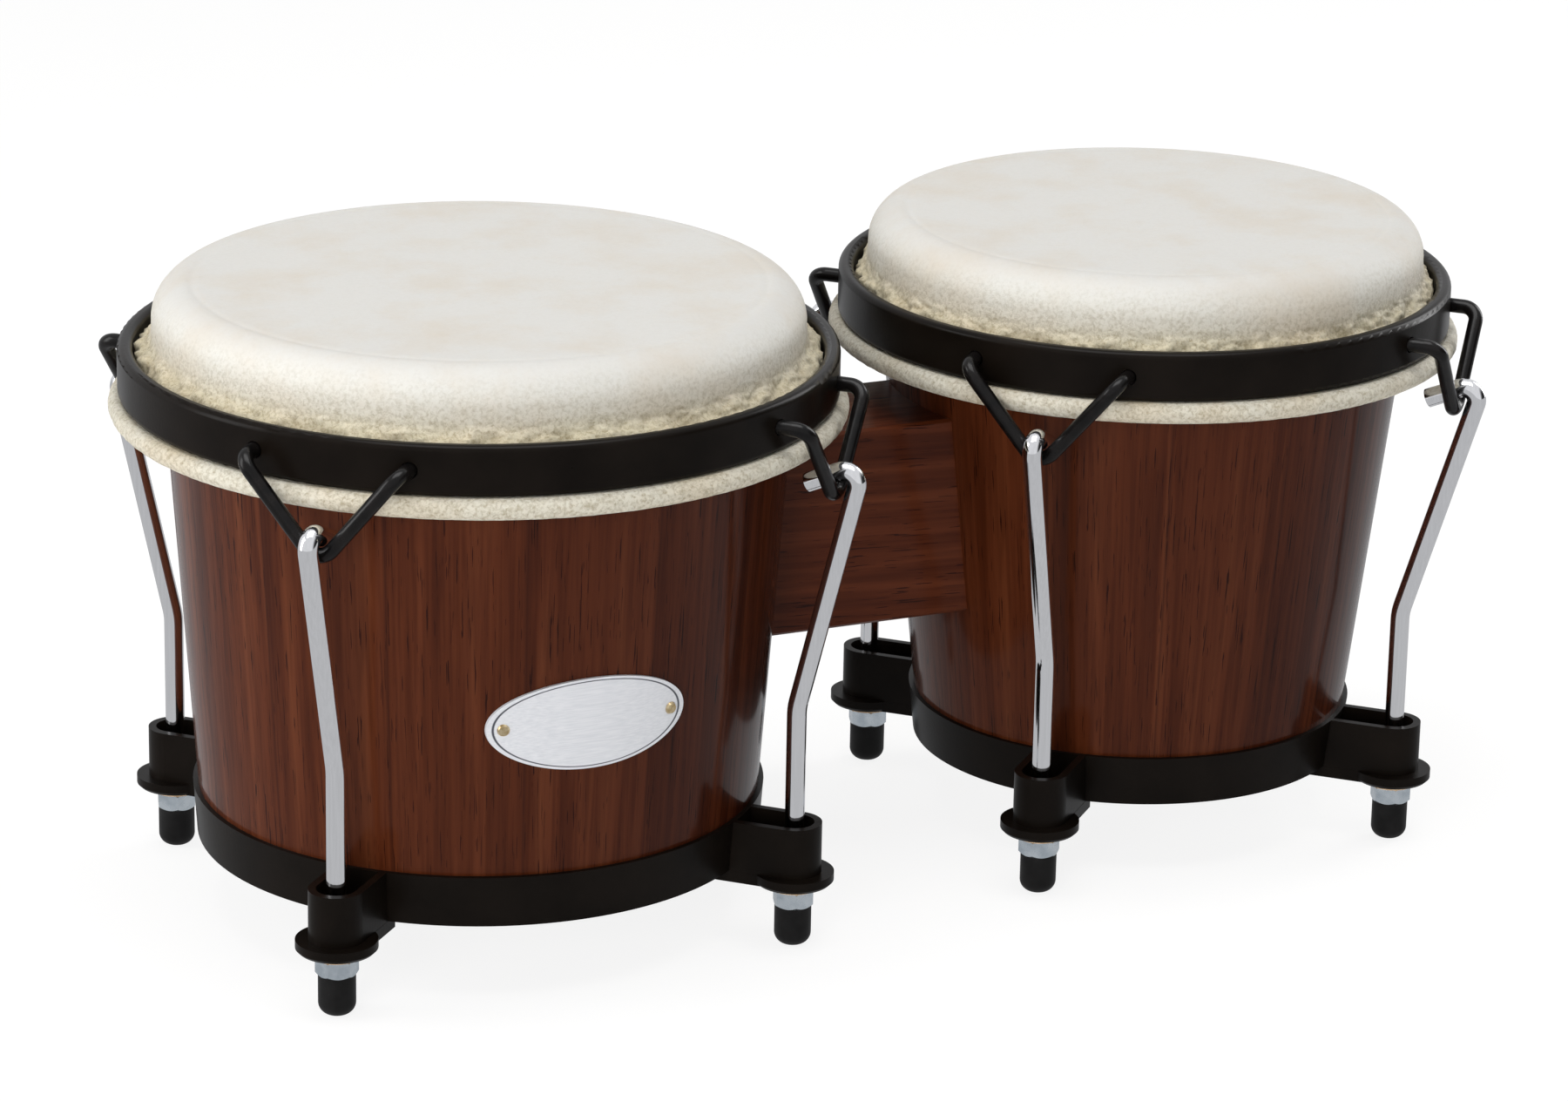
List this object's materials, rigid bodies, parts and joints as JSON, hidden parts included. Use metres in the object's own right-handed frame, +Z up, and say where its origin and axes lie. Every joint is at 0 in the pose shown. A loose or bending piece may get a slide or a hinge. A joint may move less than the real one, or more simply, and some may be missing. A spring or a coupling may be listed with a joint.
{
  "type": "bongo drums",
  "caption": "Pair of tunable hand drums of two sizes joined by a wooden block, with skin heads, steel rims, hooked tension rods and rubber feet.",
  "frame": {"origin": "on the floor under the middle of the pair's box, midway along its length", "axes": "+Z up, X along the line of the two drums with the larger at -X, -Y the front with the badge"},
  "size_m": [0.3878, 0.1984, 0.1755],
  "materials": {
    "stained_wood": "gloss lacquer over dark stain",
    "rawhide": "natural rawhide",
    "black_steel": "semi-gloss black powder coat",
    "chrome": "polished",
    "zinc_steel": "zinc plated",
    "tan_washer": "yellow zinc plated",
    "brass": "polished",
    "badge_metal": "brushed and lacquered",
    "rubber": "moulded"
  },
  "bodies": {
    "root": {"centre_block": "stained_wood", "block_bolts": "zinc_steel", "block_washers": "zinc_steel", "block_inserts": "brass", "badge_plate": "badge_metal", "badge_rivets": "brass", "large_shell": "stained_wood", "large_bottom_ring": "black_steel", "large_lug_straps": "black_steel", "large_lug_plates": "black_steel", "large_rod_washers": "tan_washer", "small_shell": "stained_wood", "small_bottom_ring": "black_steel", "small_lug_straps": "black_steel", "small_lug_plates": "black_steel", "small_rod_washers": "tan_washer"},
    "large_tension": {"large_rim": "black_steel", "large_head_skin": "rawhide", "large_flesh_hoop": "zinc_steel", "large_rim_link_1": "black_steel", "large_rim_link_2": "black_steel", "large_rim_link_3": "black_steel", "large_rim_link_4": "black_steel", "large_hook_rod_1": "chrome", "large_hook_rod_2": "chrome", "large_hook_rod_3": "chrome", "large_hook_rod_4": "chrome"},
    "large_nut_1": {"large_tuning_nut_1": "zinc_steel", "large_foot_cap_1": "rubber"},
    "large_nut_2": {"large_tuning_nut_2": "zinc_steel", "large_foot_cap_2": "rubber"},
    "large_nut_3": {"large_tuning_nut_3": "zinc_steel", "large_foot_cap_3": "rubber"},
    "large_nut_4": {"large_tuning_nut_4": "zinc_steel", "large_foot_cap_4": "rubber"},
    "small_tension": {"small_rim": "black_steel", "small_head_skin": "rawhide", "small_flesh_hoop": "zinc_steel", "small_rim_link_1": "black_steel", "small_rim_link_2": "black_steel", "small_rim_link_3": "black_steel", "small_rim_link_4": "black_steel", "small_hook_rod_1": "chrome", "small_hook_rod_2": "chrome", "small_hook_rod_3": "chrome", "small_hook_rod_4": "chrome"},
    "small_nut_1": {"small_tuning_nut_1": "zinc_steel", "small_foot_cap_1": "rubber"},
    "small_nut_2": {"small_tuning_nut_2": "zinc_steel", "small_foot_cap_2": "rubber"},
    "small_nut_3": {"small_tuning_nut_3": "zinc_steel", "small_foot_cap_3": "rubber"},
    "small_nut_4": {"small_tuning_nut_4": "zinc_steel", "small_foot_cap_4": "rubber"}
  },
  "joints": [
    {"name": "large_nut_1_turn", "type": "hinge", "parent": "root", "child": "large_nut_1", "pos_m": [-0.15997, -0.06527, 0.0137], "axis": [0, 0, -1], "range_deg": [0, 2520]},
    {"name": "large_nut_2_turn", "type": "hinge", "parent": "root", "child": "large_nut_2", "pos_m": [-0.02943, -0.06527, 0.0137], "axis": [0, 0, -1], "range_deg": [0, 2520]},
    {"name": "large_nut_3_turn", "type": "hinge", "parent": "root", "child": "large_nut_3", "pos_m": [-0.02943, 0.06527, 0.0137], "axis": [0, 0, -1], "range_deg": [0, 2520]},
    {"name": "large_nut_4_turn", "type": "hinge", "parent": "root", "child": "large_nut_4", "pos_m": [-0.15997, 0.06527, 0.0137], "axis": [0, 0, -1], "range_deg": [0, 2520]},
    {"name": "large_head_lift", "type": "slide", "parent": "root", "child": "large_tension", "axis": [0, 0, 1], "range_m": [0, 0.007]},
    {"name": "small_nut_1_turn", "type": "hinge", "parent": "root", "child": "small_nut_1", "pos_m": [0.04944, -0.05586, 0.0137], "axis": [0, 0, -1], "range_deg": [0, 2520]},
    {"name": "small_nut_2_turn", "type": "hinge", "parent": "root", "child": "small_nut_2", "pos_m": [0.16116, -0.05586, 0.0137], "axis": [0, 0, -1], "range_deg": [0, 2520]},
    {"name": "small_nut_3_turn", "type": "hinge", "parent": "root", "child": "small_nut_3", "pos_m": [0.16116, 0.05586, 0.0137], "axis": [0, 0, -1], "range_deg": [0, 2520]},
    {"name": "small_nut_4_turn", "type": "hinge", "parent": "root", "child": "small_nut_4", "pos_m": [0.04944, 0.05586, 0.0137], "axis": [0, 0, -1], "range_deg": [0, 2520]},
    {"name": "small_head_lift", "type": "slide", "parent": "root", "child": "small_tension", "axis": [0, 0, 1], "range_m": [0, 0.007]}
  ],
  "couplings": [
    {"joint": "large_nut_1_turn", "follows": "large_head_lift", "rad_per_m": 6283.2},
    {"joint": "large_nut_2_turn", "follows": "large_head_lift", "rad_per_m": 6283.2},
    {"joint": "large_nut_3_turn", "follows": "large_head_lift", "rad_per_m": 6283.2},
    {"joint": "large_nut_4_turn", "follows": "large_head_lift", "rad_per_m": 6283.2},
    {"joint": "small_nut_1_turn", "follows": "small_head_lift", "rad_per_m": 6283.2},
    {"joint": "small_nut_2_turn", "follows": "small_head_lift", "rad_per_m": 6283.2},
    {"joint": "small_nut_3_turn", "follows": "small_head_lift", "rad_per_m": 6283.2},
    {"joint": "small_nut_4_turn", "follows": "small_head_lift", "rad_per_m": 6283.2}
  ]
}
